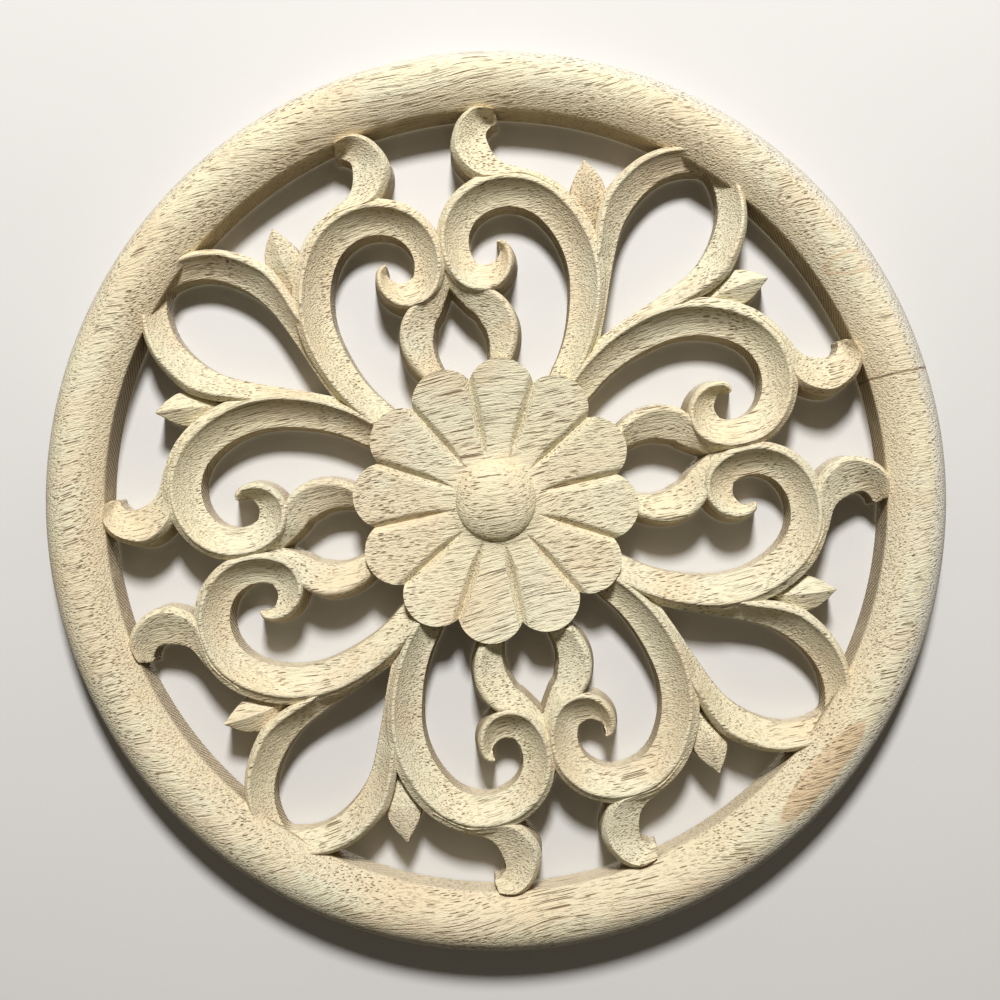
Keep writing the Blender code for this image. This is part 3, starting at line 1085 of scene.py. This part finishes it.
oval = (oval_along * oval_along + oval_aside * oval_aside) ** 0.5 + (ripple - 0.5) * 0.3
oval_line = oval.within(1.0, 0.05, 0.14)
GLUE_UP = 12.4
GLUE_START = 128.0
glue_line = up.within(GLUE_UP, 0.18, 0.4) * across.rising(GLUE_START, GLUE_START + 1.0)
print(f"wood: patch {2 * PATCH_HALF_LENGTH:.0f} mm long, glue line {GLUE_UP} mm above the middle")

# %% [markdown]
# ### Colour
# Cream wood with greenish and pinkish clouds comes first.  The walls get painted shade,
# browner deep down; a band on the rim's inner slope is browner, partly the wood's tone and
# partly painted shade; the outermost edge of the rim gets a painted pale grey sheen; and
# then each kind of mark darkens the tone.

# %% Wood: colour
CREAM = (0.80, 0.725, 0.495, 1.0)
GREENISH = (0.77, 0.72, 0.52, 1.0)
PINKISH = (0.79, 0.66, 0.46, 1.0)
BLUSH = (0.76, 0.625, 0.415, 1.0)
TAN = (0.65, 0.48, 0.29, 1.0)
BROWN = (0.27, 0.18, 0.09, 1.0)
# The last two tones are painted light: a shade for the sawn walls and a pale grey sheen for the rim's
# outer edge.
WALL_PAINTED_SHADE = (0.55, 0.46, 0.30, 1.0)
PAINTED_EDGE_SHEEN = (0.76, 0.73, 0.64, 1.0)
tone = wood.blended(flush.rising(0.38, 0.62), GREENISH, CREAM)
tone = wood.blended(cloud.rising(0.5, 0.7) * 0.6, tone, PINKISH)
tone = wood.blended(blush.rising(0.48, 0.64) * 0.65, tone, BLUSH)
tone = wood.blended(patch * 0.85, tone, TAN)
tone = wood.blended(oval_line * 0.75, tone, TAN)
# Partly the wood's own tone and partly painted shade: a browner band along the rim's inner slope.
tone = wood.blended(radius.within(132.5, 2.0, 4.0) * 0.4, tone, BLUSH)
# Painted shade: the steep sawn walls are mixed towards a dark brown, most strongly deep down near the
# back, where the walls of the openings lie in shade.
tone = wood.blended(wall_side * 0.8, tone, WALL_PAINTED_SHADE)
# Painted sheen: the outermost edge of the rim is turned a pale grey, the way light grazing that edge
# shows it.
painted_edge_sheen = (radius + across * 0.015).rising(RIM_EDGE, RIM_EDGE + 6.0)
tone = wood.blended(painted_edge_sheen * 0.85, tone, PAINTED_EDGE_SHEEN)
tone = wood.blended((0.5 - grit).rising(0.0, 0.26) * 0.12, tone, BROWN)
tone = wood.blended(cuts * 0.36, tone, BROWN)
tone = wood.blended(lines * 0.42, tone, BROWN)
tone = wood.blended(pits * 0.22, tone, BROWN)
tone = wood.blended(vessels, tone, BROWN)
tone = wood.blended(nicks * 0.25, tone, BROWN)
tone = wood.blended(saw_marks * 0.9, tone, BROWN)
tone = wood.blended(glue_line * 0.8, tone, BROWN)
wood.feed(wood.shader.inputs["Base Color"], tone)
print(f"wood: {len(wood.tree.nodes)} nodes with the colour")

# %% [markdown]
# ### Surface
# Raw wood is matt.  The same marks that darken it are cut into it, so one height made from
# them feeds a Bump node; that costs no triangles and keeps colour and relief together.

# %% Wood: surface
roughness = 0.62 + (grit - 0.5) * 0.2
wood.feed(wood.shader.inputs["Roughness"], roughness)
wood.shader.inputs["Specular IOR Level"].default_value = 0.25
fine = hatch * 0.32 + fibre * 0.26 + grit * 0.22
grain_cuts = cuts * 0.09 + lines * 0.08 + pits * 0.16 + vessels * 0.32
tool_cuts = nicks * 0.18 + saw_marks * 0.22 + glue_line * 0.2
height = fine - grain_cuts - tool_cuts
bump = wood.node("ShaderNodeBump", {}, {"Strength": 1.0, "Distance": MM, "Height": height})
wood.feed(wood.shader.inputs["Normal"], bump)

panel.data.materials.clear()
panel.data.materials.append(wood.material)
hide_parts("carved_panel")
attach(panel, "root")
print(f"wood: {len(wood.tree.nodes)} nodes")

# %% [markdown]
# ## Wall
# The panel is made to be fixed to a wall or a door, so it is shown on a plain pale wall.
# The wall has one side only: it is clear from behind, so that the back can be seen too.

# %% Wall
WALL_SIZE = 3.0
WALL_GAP = 0.0006
maker = bmesh.new()
bmesh.ops.create_grid(maker, x_segments=1, y_segments=1, size=WALL_SIZE)
upright = Matrix.Rotation(math.radians(90.0), 4, "X")
behind = Matrix.Translation((0.0, WALL_GAP, 0.0))
bmesh.ops.transform(maker, matrix=behind @ upright, verts=maker.verts)
mesh = bpy.data.meshes.new("wall")
maker.to_mesh(mesh)
maker.free()
wall = bpy.data.objects.new("wall", mesh)
bpy.context.scene.collection.objects.link(wall)
plaster = Finish("pale_wall")
spot = Value(plaster, plaster.tree.nodes.new("ShaderNodeTexCoord").outputs["Object"])
mottle = plaster.noise(spot, 9.0, 3.0)
PALE = (0.68, 0.67, 0.65, 1.0)
SHADE = (0.65, 0.64, 0.62, 1.0)
plaster.feed(plaster.shader.inputs["Base Color"], plaster.blended(mottle, PALE, SHADE))
plaster.shader.inputs["Roughness"].default_value = 0.9
seen_from_behind = plaster.node("ShaderNodeNewGeometry", {}, {}, "Backfacing")
clear = plaster.node("ShaderNodeBsdfTransparent", {}, {})
solid = Value(plaster, plaster.shader.outputs["BSDF"])
either = plaster.node("ShaderNodeMixShader", {}, [seen_from_behind, solid, clear])
plaster.feed(plaster.tree.nodes["Material Output"].inputs["Surface"], either)
wall.data.materials.append(plaster.material)
wall.visible_shadow = False
wall.visible_diffuse = False
print(f"wall: faces {tuple(round(value) for value in wall.data.polygons[0].normal)}")

# %% [markdown]
# ## Light
# One soft key lamp from above rakes over the carving, so that coves and beads show; a
# faint warm world fills the shade, and a lamp behind the wall plane lights the back.

# %% Light
STUDIO_TINT = (1.0, 0.89, 0.71, 1.0)
STUDIO_STRENGTH = 0.087
LAMP_TINT = (1.0, 0.985, 0.975)
world = bpy.data.worlds.new("studio")
bpy.context.scene.world = world
world.use_nodes = True
world.node_tree.nodes["Background"].inputs["Color"].default_value = STUDIO_TINT
world.node_tree.nodes["Background"].inputs["Strength"].default_value = STUDIO_STRENGTH


def lamp(name, place, size, power):
    """A round soft lamp that points at the middle of the panel."""
    light = bpy.data.lights.new(name, "AREA")
    light.shape = "DISK"
    light.size = size
    light.energy = power
    light.color = LAMP_TINT
    item = bpy.data.objects.new(name, light)
    item.location = place
    item.rotation_euler = (-Vector(place)).to_track_quat("-Z", "Y").to_euler()
    bpy.context.scene.collection.objects.link(item)


ROLL = math.radians(12.44)
KEY_DISTANCE = 1.5
KEY_HEIGHT = math.radians(48.0)
key_up = KEY_DISTANCE * math.cos(KEY_HEIGHT)
key_place = (
    key_up * math.sin(ROLL),
    -KEY_DISTANCE * math.sin(KEY_HEIGHT),
    key_up * math.cos(ROLL),
)
lamp("key", key_place, size=0.3, power=31.0)
lamp("back_fill", (0.3, 1.6, 0.8), size=1.0, power=16.0)
print(f"light: {len(bpy.data.lights)} lamps, key {math.degrees(KEY_HEIGHT):.0f} degrees off the wall")

# %% [markdown]
# ## Camera
# The panel is seen from straight in front, from about half a metre, and turned a little
# about the line of sight; a small shift centres it in the frame.

# %% Camera
VIEW_DISTANCE = 480.0 * MM
VIEW_FOOT = (4.9 * MM, -8.6 * MM)
view = bpy.data.cameras.new("view")
view.sensor_width = 36.0
view.lens = 50.74
view.shift_x = -0.0107
view.shift_y = 0.0268
camera = bpy.data.objects.new("camera", view)
bpy.context.scene.collection.objects.link(camera)
roll = Matrix.Rotation(ROLL, 4, "Y")
stand = Matrix.Translation((VIEW_FOOT[0], -VIEW_DISTANCE, VIEW_FOOT[1]))
camera.matrix_world = roll @ stand @ upright
bpy.context.scene.camera = camera
bpy.context.scene.view_settings.view_transform = "Standard"
print(f"camera: {view.lens:.2f} mm lens at {VIEW_DISTANCE:.2f} m")

# %% [markdown]
